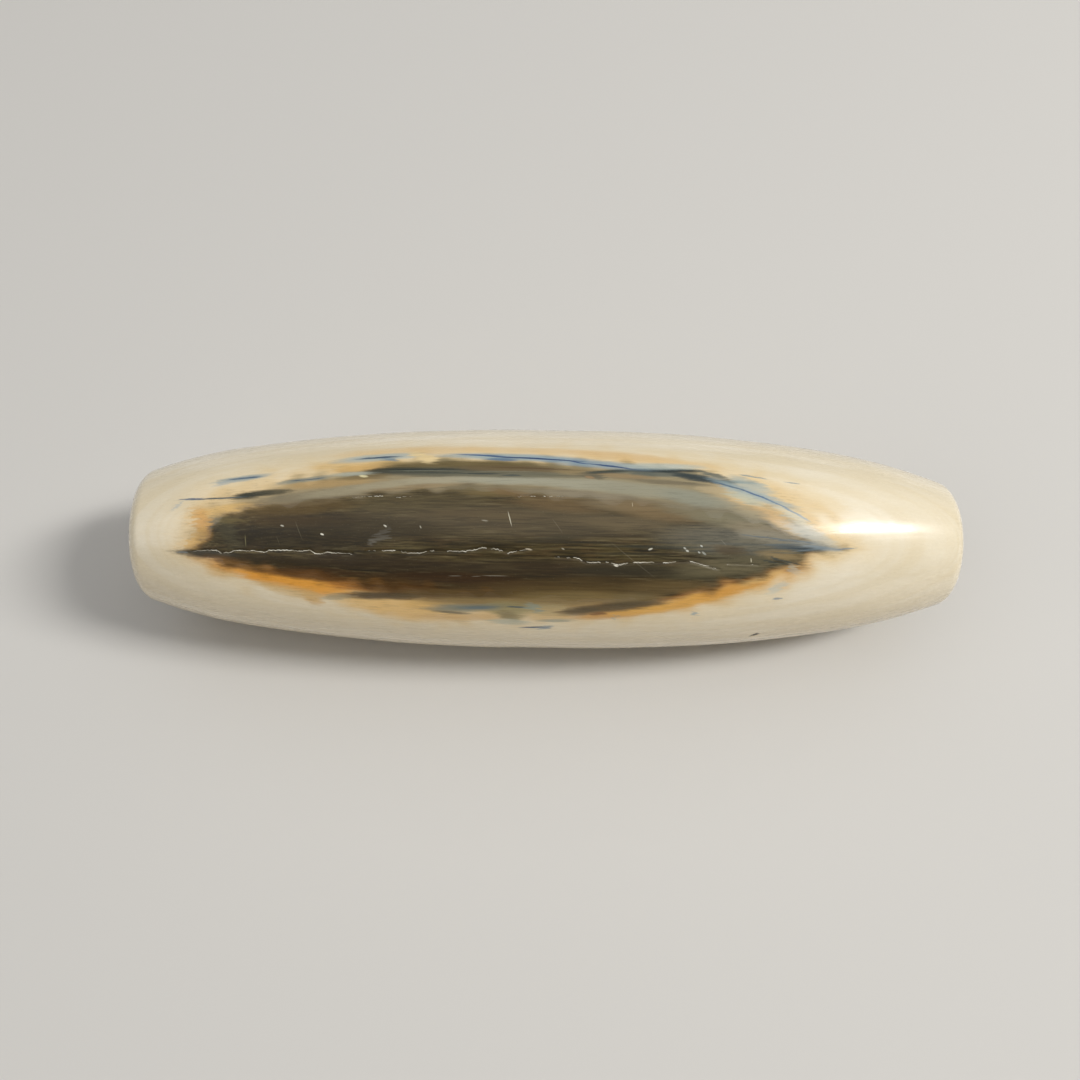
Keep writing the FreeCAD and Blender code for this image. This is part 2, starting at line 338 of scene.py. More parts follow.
def cells(level_patch, level_bark):
    """Faces of the grid as (corner indices, zone): zone 0 is dentine, 1 cementum and 2 bark."""
    rows, columns = level_patch.shape
    number = np.arange(rows * columns).reshape(rows, columns)
    ahead = np.roll(number, -1, 1)
    quads = np.stack([number[:-1], ahead[:-1], ahead[1:], number[1:]], -1).reshape(-1, 4)
    faces, zones = [], []
    patch, bark = level_patch.ravel(), level_bark.ravel()
    for quad in quads:
        shapes = [tuple(quad)]
        for level in (patch, bark):
            values = level[quad]
            if values.max() > 0 > values.min():
                diagonal = 0 if values[0] == 0 and values[2] == 0 else 1
                turned = np.roll(quad, -diagonal)
                shapes = [tuple(turned[[0, 1, 2]]), tuple(turned[[0, 2, 3]])]
        for shape in shapes:
            corners = list(shape)
            zone = 2 if bark[corners].max() > 0 else 1 if patch[corners].max() > 0 else 0
            faces.append(shape)
            zones.append(zone)
    return faces, np.array(zones)


def place(x, a, radius):
    """Point in the frame, in metres, from (x, a) and a radius in millimetres."""
    angle = np.radians(a + PATCH_TURN)
    return np.stack([x, -radius * np.sin(angle), radius * np.cos(angle)], -1) * MM


def grid_normals(points):
    """Outward normals of a surface given as a grid of points that closes round the bore."""
    along = np.gradient(points, axis=0)
    around = np.roll(points, -1, 1) - np.roll(points, 1, 1)
    normal = np.cross(around, along)
    return normal / np.maximum(np.linalg.norm(normal, axis=-1, keepdims=True), 1e-12)


class Surface:
    """The shared grid, with the skin and the two layer boundaries under it."""

    def __init__(self):
        stations, angles = grid_lines()
        x, a = [grid.copy() for grid in np.meshgrid(stations, angles, indexing="ij")]
        patch = PATCH.inside(x, a)
        snap_to_outline(x, a, patch)
        open_pinches(patch)
        bark = np.minimum(BARK.inside(x, a), patch - BARK_INSET)
        snap_to_outline(x, a, bark)
        self.x, self.a = x, a
        self.patch, self.bark = patch, bark
        self.faces, self.zones = cells(patch, bark)
        skin = skin_radius(x, a)
        patch_depth = np.maximum(PATCH.depth(x, a), LAYER_SLOPE * patch)
        bark_depth = np.maximum(BARK.depth(x, a), LAYER_SLOPE * bark)
        bark_depth = np.minimum(bark_depth + BARK_LEAST_DEPTH * (bark > 0), BARK_SHARE_OF_PATCH * patch_depth)
        self.skin = place(x, a, skin)
        self.skin_normals = grid_normals(self.skin).reshape(-1, 3)
        self.under_patch = place(x, a, skin - patch_depth)
        self.under_bark = place(x, a, skin - bark_depth)
        self.fields = {"patch_in": PATCH.stain_field(x, a).ravel(), "bark_in": BARK.stain_field(x, a).ravel()}


def add_mesh(name, points, faces, normals, fields):
    """Mesh object from points, faces and one normal per face corner, without unused points."""
    used = np.unique(np.concatenate([np.array(face) for face in faces]))
    renumber = np.full(len(points), -1)
    renumber[used] = np.arange(len(used))
    mesh = bpy.data.meshes.new(name)
    mesh.from_pydata(points[used].tolist(), [], [tuple(renumber[list(face)]) for face in faces])
    for field, values in fields.items():
        attribute = mesh.attributes.new(field, "FLOAT", "POINT")
        attribute.data.foreach_set("value", values[used].astype(np.float32))
    mesh.shade_smooth()
    if normals is not None:
        mesh.normals_split_custom_set([tuple(normal) for normal in normals])
    piece = bpy.data.objects.new(name, mesh)
    bpy.context.scene.collection.objects.link(piece)
    return piece


def make_dentine(surface):
    """Pale core: the skin outside the patch, the bed of the stained rind, both ends and the bore."""
    rows, columns = surface.x.shape
    top = np.where((surface.patch > 0)[..., None], surface.under_patch, surface.skin)
    bed_normals = grid_normals(surface.under_patch).reshape(-1, 3)
    faces = list(surface.faces)
    normals = []
    for face, zone in zip(surface.faces, surface.zones):
        source = bed_normals if zone else surface.skin_normals
        normals += [source[corner] for corner in face]

    # rings of points from one end's rim to the bore, through it, and out to the other end's rim
    total = rows * columns
    angle = surface.a[0]
    flat = np.full(columns, 1.0)
    mouth = BORE_RADIUS + BORE_CHAMFER
    chain = []
    for side in (1, -1):
        outer = np.linalg.norm(surface.skin[-1 if side > 0 else 0][:, 1:], axis=1) / MM
        shares = np.linspace(0, 1, 7)[1:]
        rings = [(side * (HALF_LENGTH - END_HOLLOW * math.sin(math.pi * share)),
                  outer + (mouth - outer) * share) for share in shares]
        rings.append((side * (HALF_LENGTH - BORE_CHAMFER), BORE_RADIUS * flat))
        chain.append(rings)
    bore = [(x, BORE_RADIUS * flat) for x in np.linspace(HALF_LENGTH - 1, -HALF_LENGTH + 1, 12)]
    rings = chain[0] + bore + chain[1][::-1]
    ring_points = np.stack([place(x * flat, angle, radius) for x, radius in rings])
    numbers = total + np.arange(len(rings) * columns).reshape(len(rings), columns)
    loop = np.vstack([np.arange(total - columns, total), numbers, np.arange(columns)])
    points = np.concatenate([top.reshape(-1, 3), ring_points.reshape(-1, 3)])
    for i in range(len(loop) - 1):
        for j in range(columns):
            k = (j + 1) % columns
            corners = (loop[i, j], loop[i, k], loop[i + 1, k], loop[i + 1, j])
            faces.append(corners)
            p = points[list(corners)]
            normal = np.cross(p[2] - p[0], p[3] - p[1])
            normals += [normal / np.linalg.norm(normal)] * 4
    outside = np.full(len(rings) * columns, -20.0)
    fields = {name: np.concatenate([values, outside]) for name, values in surface.fields.items()}
    return add_mesh("dentine_core", points, faces, normals, fields)


def make_layer(name, surface, zones, level, top, bottom):
    """Closed lens of one layer: its top and bottom surfaces share the points of its outline."""
    count = surface.x.size
    low_normals = -grid_normals(bottom).reshape(-1, 3)
    lower_number = np.arange(count) + count * (level.ravel() > 0)
    faces, normals = [], []
    for face, zone in zip(surface.faces, surface.zones):
        if zone not in zones:
            continue
        faces.append(face)
        normals += [surface.skin_normals[corner] for corner in face]
        faces.append(tuple(lower_number[list(face)][::-1]))
        normals += [low_normals[corner] for corner in face[::-1]]
    points = np.concatenate([top.reshape(-1, 3), bottom.reshape(-1, 3)])
    fields = {field: np.tile(values, 2) for field, values in surface.fields.items()}
    return add_mesh(name, points, faces, normals, fields)


def make_filling():
    """Pale mineral in the cracks: jagged ribbons, wider and narrower, broken by small gaps."""
    draw = np.random.default_rng(21)
    points, faces = [], []
    for crack_width, bare, corners in CRACKS:
        route = np.array(corners, float) * (1, FACET)
        lengths = np.linalg.norm(np.diff(route, axis=0), axis=1)
        reach = np.concatenate([[0], np.cumsum(lengths)])
        count = int(reach[-1] / FILLING_STEP)
        at = np.linspace(0, reach[-1], count)
        x = np.interp(at, reach, route[:, 0]) + draw.normal(0, FILLING_JITTER[0], count)
        s = np.interp(at, reach, route[:, 1]) + draw.normal(0, FILLING_JITTER[1], count)
        knots = np.arange(0, reach[-1] + 2 * FILLING_KNOTS, FILLING_KNOTS)
        wave = np.interp(at, knots, draw.uniform(0, 1, len(knots)))
        taper = np.clip(np.minimum(at, reach[-1] - at) / FILLING_TAPER, 0.25, 1)
        half = crack_width / 2 * (0.35 + 0.75 * wave) * taper
        present = wave > bare
        start = None
        for i in range(count + 1):
            if i < count and present[i]:
                start = i if start is None else start
            elif start is not None:
                if i - start >= 3:
                    add_ribbon(points, faces, x[start:i], s[start:i], half[start:i])
                start = None
    return add_mesh("crack_mineral", np.array(points), faces, None, {})


def add_ribbon(points, faces, x, s, half):
    """One closed run of mineral: a low crowned top, and a keel pointing down into the bark."""
    first = len(points)
    a = s / FACET
    base = barrel_radius(x) - POLISH_HOLLOW
    for i in range(len(x)):
        width = half[i] / FACET
        side = FILLING_TOP + FILLING_CROWN
        for offset, depth in ((-width, side), (0, FILLING_TOP), (width, side), (0, FILLING_DEPTH)):
            points.append(place(x[i], a[i] + offset, base[i] - depth))
    for i in range(len(x) - 1):
        low, high = first + 4 * i, first + 4 * (i + 1)
        for k in range(4):
            n = (k + 1) % 4
            faces.append((low + k, low + n, high + n, high + k))
    last = first + 4 * (len(x) - 1)
    faces.append((first + 3, first + 2, first + 1, first))
    faces.append((last, last + 1, last + 2, last + 3))


# ---------------------------------------------------------------- material tools

def srgb(red, green, blue):
    """Linear colour with alpha from an 8-bit sRGB colour."""
    linear = []
    for value in (red, green, blue):
        v = value / 255
        linear.append(v / 12.92 if v <= 0.04045 else ((v + 0.055) / 1.055)**2.4)
    return (*linear, 1.0)


class Graph:
    """Short calls that add shader nodes to a tree and return their output sockets."""

    def __init__(self, tree):
        self.tree = tree

    def node(self, kind, **settings):
        node = self.tree.nodes.new(kind)
        for name, value in settings.items():
            setattr(node, name, value)
        return node

    def feed(self, socket, value):
        if isinstance(value, bpy.types.NodeSocket):
            self.tree.links.new(value, socket)
        else:
            socket.default_value = value

    def math(self, operation, *values, clamp=False):
        node = self.node("ShaderNodeMath", operation=operation, use_clamp=clamp)
        for socket, value in zip(node.inputs, values):
            self.feed(socket, value)
        return node.outputs[0]

    def vector(self, operation, *values):
        node = self.node("ShaderNodeVectorMath", operation=operation)
        for socket, value in zip(node.inputs, values):
            self.feed(socket, value)
        return node.outputs["Value" if operation in ("LENGTH", "DOT_PRODUCT") else "Vector"]

    def scaled(self, vector, scale):
        return self.vector("MULTIPLY", vector, scale)

    def noise(self, vector, scale=1.0, detail=2.0, roughness=0.5, distortion=0.0):
        node = self.node("ShaderNodeTexNoise")
        self.feed(node.inputs["Vector"], vector)
        for name, value in (("Scale", scale), ("Detail", detail), ("Roughness", roughness),
                            ("Distortion", distortion)):
            node.inputs[name].default_value = value
        return node

    def span(self, value, low, high, to_low=0.0, to_high=1.0):
        node = self.node("ShaderNodeMapRange", interpolation_type="SMOOTHSTEP")
        for socket, item in zip(node.inputs, (value, low, high, to_low, to_high)):
            self.feed(socket, item)
        return node.outputs[0]

    def mix(self, share, first, second):
        node = self.node("ShaderNodeMix", data_type="RGBA")
        self.feed(node.inputs[0], share)
        self.feed(node.inputs[6], first)
        self.feed(node.inputs[7], second)
        return node.outputs[2]

    def tinted(self, colour, *tints):
        """The colour with shades mixed in: each by up to a strength, as a value runs low to high."""
        for value, low, high, strength, shade in tints:
            colour = self.mix(self.span(value, low, high, 0.0, strength), colour, srgb(*shade))
        return colour

    def combined(self, *parts):
        node = self.node("ShaderNodeCombineXYZ")
        for socket, part in zip(node.inputs, parts):
            self.feed(socket, part)
        return node.outputs[0]

    def separated(self, vector):
        node = self.node("ShaderNodeSeparateXYZ")
        self.feed(node.inputs[0], vector)
        return node.outputs

    def position(self):
        """Object position in millimetres."""
        coordinates = self.node("ShaderNodeTexCoord")
        return self.scaled(coordinates.outputs["Object"], (1 / MM, 1 / MM, 1 / MM))


# Natural marks on the skin, and one painted shadow in the gouge, as (x, a) of the start, (x, a) of the end,
# half-width in millimetres, red, green, blue and strength. Later marks lie over earlier ones.
AMBER_MARKS = [
    (-12.8, -49.8, -5, -50.6, 0.42, 226, 193, 138, 0.6),
    (-5.2, -50.3, 2.2, -48.6, 0.32, 228, 198, 148, 0.6),
    (1.8, -48.4, 7.4, -43.8, 0.4, 224, 190, 136, 0.75),
    (7, -43.5, 10.5, -41, 0.28, 226, 196, 146, 0.55),
    (-14.5, -41.5, -9.8, -40.5, 0.5, 222, 186, 122, 0.65),
    (-13.2, -37, -10.4, -38.8, 0.36, 218, 176, 108, 0.6),
    (-16.2, -28.4, -11.4, -30.4, 0.3, 180, 146, 88, 0.65),
    (-21.9, -13.5, -18.6, -16.8, 0.42, 228, 186, 108, 0.75),
    (-18.8, -15.8, -16.2, -18.8, 0.4, 190, 160, 112, 0.7),
    (-21.9, -12.5, -21.3, -2, 0.5, 214, 158, 74, 0.75),
    (-21.6, -3, -22.4, 7, 0.36, 224, 178, 98, 0.7),
    (-22.9, 4, -23.2, 9, 0.25, 232, 202, 152, 0.4),
    (-22.2, 14.5, -20, 18, 0.26, 226, 190, 134, 0.55),
    (-20.6, 17, -18, 22.6, 0.42, 228, 166, 84, 0.8),
    (-18.7, 22.6, -15.2, 26.8, 0.52, 232, 160, 62, 0.9),
    (-16, 26.6, -13.2, 29.6, 0.6, 236, 166, 68, 0.92),
    (-15.1, 33, -14.8, 36, 0.48, 214, 166, 92, 0.7),
    (-17.6, 29.5, -15, 34, 0.42, 218, 184, 126, 0.6),
    (-13.4, 25.4, -11.4, 26.6, 0.36, 188, 124, 52, 0.85),
    (-11.8, 36.4, -7.6, 42.4, 0.8, 236, 194, 122, 0.85),
    (-8.6, 34.6, -6.2, 37.6, 0.5, 220, 178, 104, 0.75),
    (-7.6, 43.6, -3.2, 42, 0.32, 216, 176, 116, 0.7),
    (-1.4, 41.6, 1.6, 42.2, 0.34, 210, 178, 122, 0.65),
    (2, 41.2, 5.2, 39.2, 0.34, 204, 150, 76, 0.9),
    (4.2, 38.8, 8.2, 34.2, 0.36, 226, 172, 80, 0.95),
    (7.4, 34.6, 10.9, 28.4, 0.4, 226, 170, 80, 0.95),
    (9.8, 29, 12.8, 22.4, 0.34, 218, 160, 78, 0.9),
    (12.2, 22.4, 14.1, 17, 0.28, 222, 184, 120, 0.7),
    (14, 14.4, 15.8, 12.4, 0.22, 222, 184, 124, 0.55),
    (15.4, 9.4, 17.4, 8.6, 0.22, 226, 196, 144, 0.4),
    (10.2, -21.6, 13, -17.2, 0.28, 206, 174, 124, 0.6),
    (12.7, -16.6, 14.4, -10.6, 0.34, 208, 170, 114, 0.65),
    (14, -10, 15.7, -4, 0.28, 216, 186, 138, 0.5),
    (13.8, -31, 16.4, -20.5, 0.5, 226, 200, 152, 0.6),
    (16.4, -27, 18.4, -20, 0.4, 230, 208, 164, 0.5),
]
OLIVE_MARKS = [
    (-20.4, -8.5, -19.7, 3.5, 0.55, 82, 78, 56, 0.45),
    (-20.9, -9.6, -19.4, -8.6, 0.22, 114, 100, 60, 0.6),
    (-18.6, -13.2, -12.8, -16.8, 0.42, 92, 74, 42, 0.85),
    (-17.2, -18.8, -13.6, -20.2, 0.36, 110, 94, 66, 0.75),
    (-20.8, 14.2, -18, 19.6, 0.36, 100, 72, 36, 0.8),
    (-17.4, 20.4, -13, 22.2, 0.32, 92, 62, 32, 0.85),
    (-11.6, 25, -7, 27.2, 0.58, 82, 58, 30, 0.85),
    (-8.6, 29.2, -1.8, 30.4, 0.44, 98, 80, 48, 0.9),
    (-5, 25.6, 0.2, 25.2, 0.5, 84, 66, 40, 0.8),
    (-3, 28.2, 4.6, 26.2, 0.46, 98, 80, 48, 0.85),
    (-5.2, 32.6, 1.8, 33, 0.26, 140, 116, 70, 0.8),
    (-1.4, 30.2, 5, 30, 0.44, 132, 113, 72, 0.85),
    (4.2, 31.6, 6.6, 29.6, 0.5, 122, 106, 72, 0.9),
    (5.2, 24, 9.4, 23.4, 0.42, 106, 88, 56, 0.8),
    (-7.2, 33.2, 1.6, 34, 0.36, 142, 120, 74, 0.8),
    (-3.4, 36.6, -1.6, 37.4, 0.52, 146, 136, 92, 0.85),
    (-2.9, 40.6, -2.1, 42.2, 0.36, 138, 124, 84, 0.9),
    (-0.9, 36.8, 1, 37.4, 0.42, 176, 160, 116, 0.7),
    (-1.5, -18.6, 2.6, -15.8, 0.46, 112, 92, 62, 0.65),
    (2.6, -18.2, 6.4, -16.4, 0.4, 124, 110, 84, 0.85),
    (4.6, -15.4, 9, -12, 0.5, 124, 104, 72, 0.75),
    (7.2, -17, 11, -14.2, 0.52, 122, 114, 90, 0.8),
    (9.4, -12.2, 13, -9.2, 0.46, 124, 118, 94, 0.8),
    (11.4, -8, 14, -4.4, 0.4, 134, 122, 96, 0.75),
    (12.4, -3.6, 15, -0.4, 0.4, 140, 134, 116, 0.75),
    (10.4, 4.4, 11.8, 6, 0.32, 84, 68, 46, 0.6),
    (10.6, 8.8, 13.4, 9.6, 0.34, 92, 86, 66, 0.7),
    (13.4, 6.6, 15.6, 8, 0.3, 150, 130, 92, 0.8),
    (11.2, -17.4, 13.2, -13.6, 0.34, 146, 138, 112, 0.7),
]
BARK_MARKS = [
    (-11.5, -9.5, 6.5, -6.5, 1, 92, 82, 64, 0.6),
    (-12.8, -16.4, -5, -18.6, 0.55, 90, 80, 56, 0.55),
    (-17.5, -10, -12, -9.4, 0.4, 58, 48, 34, 0.7),
    (-20.2, 0, -12, 1, 0.95, 38, 31, 17, 0.72),
    (-20.2, 12.4, -14, 15, 0.34, 52, 42, 24, 0.85),
    (-15, 12.4, -5, 14.6, 0.5, 54, 44, 32, 0.75),
    (-9.8, 19.6, -2, 20.6, 0.36, 62, 44, 28, 0.8),
    (-5, 14, 5, 15.4, 0.56, 60, 50, 38, 0.65),
    (2, 14.6, 8.6, 15.4, 0.36, 58, 54, 42, 0.75),
    (7.6, 18.4, 12.6, 16.6, 0.34, 80, 74, 54, 0.7),
    (-23.2, 11.8, -20, 11.6, 0.26, 60, 58, 48, 0.9),
    (-2.2, 1.2, 4.9, 1.7, 0.07, 44, 40, 32, 0.75),
    (6, 1, 8.2, 0.8, 0.06, 50, 46, 36, 0.65),
    (5, 5.2, 6.3, 5, 0.08, 36, 34, 28, 0.85),
    (-5.4, 2.2, -2.6, 2.6, 0.06, 48, 44, 34, 0.6),
    (0.4, 8, 2, 8.8, 0.05, 40, 38, 30, 0.6),
    (-0.6, -0.4, 2, -1, 0.14, 68, 64, 50, 0.5),
    (-10.85, 2.2, -10.35, -2.6, 0.2, 116, 112, 102, 0.7),
    (-10.35, 0.6, -10, -4.5, 0.12, 122, 118, 108, 0.6),
    (4, 3, 9.5, 3.4, 0.1, 58, 60, 52, 0.6),
    (8, 5.2, 13.5, 4.6, 0.09, 50, 54, 50, 0.65),
    (9, 1.2, 13.8, 1.8, 0.07, 60, 66, 64, 0.6),
    (2.5, 6.6, 7.5, 6.8, 0.08, 48, 48, 40, 0.6),
    (11, 7.2, 15.2, 6.2, 0.07, 68, 76, 76, 0.6),
    (-19.2, -8.5, -13, -7, 0.34, 72, 56, 30, 0.6),
    (-16.5, 17.4, -11, 19.6, 0.2, 66, 46, 26, 0.7),
    (-12.5, 17, -9.6, 17.6, 0.05, 36, 32, 24, 0.7),
    (-1, 21.4, 6.5, 20.6, 0.3, 86, 70, 44, 0.6),
    (-7, -12.5, -1, -11, 0.3, 98, 84, 60, 0.5),
    (1.5, -9.5, 6.5, -7.5, 0.34, 112, 98, 72, 0.5),
    (-14.5, -4.5, -7, -3.5, 0.6, 54, 46, 30, 0.6),
    (-5, -22.6, -1, -22.4, 0.22, 124, 106, 66, 0.5),
    (-6.5, -25.6, -1, -24.6, 0.22, 122, 110, 80, 0.7),
    (8, -1, 14, 2, 0.8, 124, 122, 110, 0.42),
    (8.6, 14.6, 13, 12.4, 0.5, 122, 113, 86, 0.55),
]
GREY_MARKS = [
    (-17.8, -20.2, -14, -22.6, 0.34, 128, 118, 92, 0.85),
    (-15.2, -22.2, -10.8, -26.4, 0.32, 150, 140, 112, 0.95),
    (-11.8, -26, -7.4, -29.8, 0.3, 158, 148, 120, 0.95),
    (-8.8, -29.6, -3.8, -30.4, 0.27, 162, 154, 128, 1),
    (-5, -29.9, 0.6, -29, 0.3, 158, 155, 134, 1),
    (-0.4, -28.6, 4.4, -27.2, 0.4, 156, 152, 130, 1),
    (3.2, -26.6, 8.4, -23.8, 0.48, 148, 144, 122, 0.95),
    (7.2, -23.6, 10.8, -19.4, 0.46, 140, 140, 122, 0.9),
    (-0.8, -23.6, 4.6, -21.2, 0.26, 134, 124, 102, 0.8),
    (-10.8, -24.4, -6, -27.2, 0.17, 152, 132, 96, 0.65),
    (-3.6, -24.2, -1.4, -21.6, 0.22, 122, 98, 66, 0.55),
    (9.4, -27.4, 10.8, -26, 0.26, 178, 160, 124, 0.7),
]
DARK_MARKS = [
    (-11.6, -35.4, -8.2, -37.4, 0.34, 50, 52, 40, 0.95),
    (-9.8, -39.8, -0.4, -38.8, 0.32, 108, 94, 60, 0.95),
    (-10.4, -35.4, -3.4, -34.4, 0.34, 62, 65, 52, 0.95),
    (-5.4, -37.2, 1.2, -35.6, 0.3, 104, 88, 58, 0.95),
    (-7.6, -33.4, 2, -32.6, 0.24, 100, 98, 78, 0.9),
    (-13, -32, -10.2, -33.2, 0.2, 118, 100, 60, 0.8),
    (0.4, -35.6, 3.2, -34.6, 0.24, 140, 122, 84, 0.8),
    (-10.2, -36.8, -5.4, -36.2, 0.05, 36, 42, 38, 0.9),
    (-8.4, -34.6, -4.6, -33.4, 0.05, 52, 58, 50, 0.8),
    (-5.4, -33.5, -3.3, -33.3, 0.06, 50, 56, 52, 0.85),
    (-2.9, -32.5, -1.9, -32.3, 0.07, 64, 70, 66, 0.8),
    (-3.6, -37.6, 1.4, -36.2, 0.06, 86, 66, 40, 0.7),
    (-9.8, -35.9, -5.6, -35.2, 0.035, 128, 132, 116, 0.5),
    (-4.6, -34.9, -1.2, -34.8, 0.03, 132, 128, 108, 0.5),
    (2, -34.4, 5.2, -36.4, 0.14, 58, 64, 56, 0.95),
    (3.2, -33.4, 6.4, -32.6, 0.2, 142, 116, 78, 0.6),
    (2, -33, 3.2, -31.4, 0.16, 96, 90, 70, 0.85),
    (5, -31, 9.6, -29.2, 0.15, 112, 102, 78, 0.85),
    (4.8, -35.2, 9.2, -35, 0.22, 84, 92, 84, 0.9),
    (4.8, -36.8, 9.6, -37.8, 0.17, 38, 48, 48, 1),
    (7.6, -35.6, 11.4, -30.2, 0.24, 44, 54, 54, 1),
    (9.4, -37.2, 11, -33.6, 0.18, 78, 90, 86, 0.85),
    (10.2, -31.8, 12.6, -32.5, 0.13, 62, 76, 76, 0.9),
    (-19.4, -23.6, -17.8, -25.2, 0.29, 44, 46, 30, 1),
    (-18.2, -25.4, -16.4, -25.6, 0.24, 64, 60, 38, 0.9),
    (-22.4, -23.4, -19, -23.3, 0.07, 66, 82, 88, 0.9),
    (-12.6, 32.2, -9.2, 30.8, 0.28, 58, 48, 30, 0.9),
    (-9.8, 31.2, -8.2, 31, 0.26, 92, 76, 46, 0.85),
    (-14, 34.4, -12.6, 33, 0.24, 164, 152, 120, 0.75),
    (1, 38.6, 2.6, 37, 0.36, 104, 84, 46, 0.9),
    (1.8, 37, 6.2, 33.2, 0.36, 76, 62, 30, 0.92),
    (2.7, 39.8, 3.5, 39, 0.16, 124, 84, 38, 0.85),
]
BLUE_MARKS = [
    (-6.2, -45.6, 0.8, -43.6, 0.26, 150, 174, 182, 0.85),
    (-0.8, -43.4, 5.4, -38.4, 0.3, 136, 160, 174, 0.85),
    (4.8, -39.4, 9, -40.2, 0.26, 178, 190, 184, 0.75),
    (-13, -44.8, -8.6, -46.8, 0.3, 172, 186, 184, 0.85),
    (-8.4, -47, -7.6, -43.4, 0.34, 236, 212, 160, 0.9),
    (-3.6, -43.2, -2.4, -42.6, 0.13, 88, 118, 150, 0.75),
    (-12, -45.4, -9.6, -46, 0.075, 64, 84, 106, 0.95),
    (-10.4, -44.4, -9.7, -43.2, 0.12, 112, 136, 152, 0.75),
    (-20.8, -35.4, -18.2, -37.4, 0.24, 146, 162, 164, 0.85),
    (-20.2, -36.2, -18.7, -36.8, 0.08, 78, 100, 122, 0.9),
    (-21.2, -33, -20.2, -34.6, 0.16, 170, 178, 176, 0.7),
    (-16.8, -31.2, -14.2, -33.6, 0.18, 128, 134, 124, 0.8),
    (-15.6, -32.2, -14.5, -33.1, 0.045, 74, 90, 102, 0.85),
    (-13.6, -34.6, -11.4, -34.8, 0.16, 172, 178, 164, 0.75),
    (-23.3, -24.6, -22, -23.6, 0.075, 72, 98, 124, 0.95),
    (-23.6, -18.6, -23.2, -22, 0.18, 178, 186, 186, 0.55),
    (-23.4, 12, -22.8, 11.6, 0.045, 136, 148, 152, 0.6),
    (10.6, -31, 14.6, -20, 0.34, 150, 170, 174, 0.85),
    (11.6, -34, 13.4, -28.8, 0.36, 160, 174, 170, 0.75),
    (12, -37.2, 13.5, -35.8, 0.06, 128, 148, 154, 0.8),
    (14.9, -34.3, 15.6, -34.1, 0.053, 130, 146, 152, 0.8),
    (-7.2, 37.6, -3.4, 35.8, 0.28, 120, 126, 112, 0.9),
    (-5.4, 36.6, -3.3, 35.7, 0.11, 92, 108, 112, 0.8),
    (-6.9, 39.7, -5.4, 40.2, 0.11, 98, 96, 76, 0.8),
    (-2.3, 35.4, -1.3, 35.8, 0.06, 68, 88, 92, 0.9),
    (-1.2, 34.6, -0.6, 37.6, 0.24, 142, 152, 136, 0.75),
    (-3.4, 45.4, -1.6, 46.2, 0.26, 178, 180, 160, 0.75),
    (-0.4, 44.6, 1.2, 44.3, 0.12, 154, 158, 142, 0.7),
    (-1.6, 50.2, -0.4, 49.6, 0.075, 62, 82, 100, 1),
    (-0.7, 51, 0.2, 49.2, 0.13, 106, 128, 142, 0.8),
    (4.2, 40.8, 4.3, 43.2, 0.075, 154, 164, 152, 0.7),
    (9, 39.6, 9.3, 40.6, 0.12, 150, 166, 168, 0.75),
    (14.2, 32, 14.6, 32.4, 0.075, 112, 132, 148, 0.75),
    (14.6, 24, 14, 26.8, 0.3, 194, 200, 192, 0.55),
    (15, 14.2, 15.4, 16.6, 0.26, 192, 200, 190, 0.35),
    (15.4, 1, 17.6, 3.4, 0.26, 168, 172, 166, 0.55),
    (15.8, 2.6, 17.8, 4, 0.14, 124, 140, 150, 0.65),
    (17.8, 4, 19.1, 3.2, 0.045, 124, 142, 154, 0.8),
    (14, 2.2, 16.4, 4.4, 0.17, 84, 92, 94, 0.9),
    (15, 3.4, 16.2, 4.4, 0.06, 58, 68, 74, 0.85),
    (12.4, -3.2, 15.2, 0.2, 0.053, 98, 108, 112, 0.85),
    (13.4, 7.8, 15.7, 12.6, 0.053, 72, 76, 70, 0.9),
    (13, 9.8, 14.8, 12.4, 0.045, 66, 70, 64, 0.85),
    (11.4, -24.4, 12.8, -20.5, 0.3, 182, 188, 170, 0.75),
    (14.4, -17, 15.8, -10.5, 0.28, 206, 208, 192, 0.6),
    (15, -8, 17.2, -1, 0.4, 190, 192, 182, 0.75),
]
BLUE_LINES = [
    (13.2, 1.6, 15.8, 1.2, 0.045, 96, 106, 108, 0.7),
    (14.6, -1.4, 16.4, 1, 0.045, 110, 124, 132, 0.7),
    (15.2, 5, 17, 3.6, 0.05, 112, 124, 128, 0.7),
    (13.6, 5.6, 15.8, 6.2, 0.045, 88, 92, 84, 0.7),
    (-5.8, -46.4, -2.8, -45, 0.068, 72, 100, 140, 0.9),
    (-3.8, -45, 2, -42, 0.06, 38, 62, 106, 0.95),
    (1.2, -42.2, 2.2, -40.4, 0.045, 56, 80, 122, 0.9),
    (2.4, -40.5, 5.2, -37.2, 0.06, 48, 74, 116, 0.95),
    (10.2, -31.4, 12.2, -27, 0.065, 66, 92, 116, 0.8),
    (11.9, -27.6, 13.7, -22.4, 0.055, 70, 100, 136, 0.9),
    (13.4, -23, 14.8, -18, 0.05, 98, 126, 152, 0.8),
    (14.5, -18.6, 15.5, -14.6, 0.055, 120, 146, 168, 0.8),
    (15.3, -15, 16.1, -11.8, 0.06, 156, 174, 186, 0.7),
]
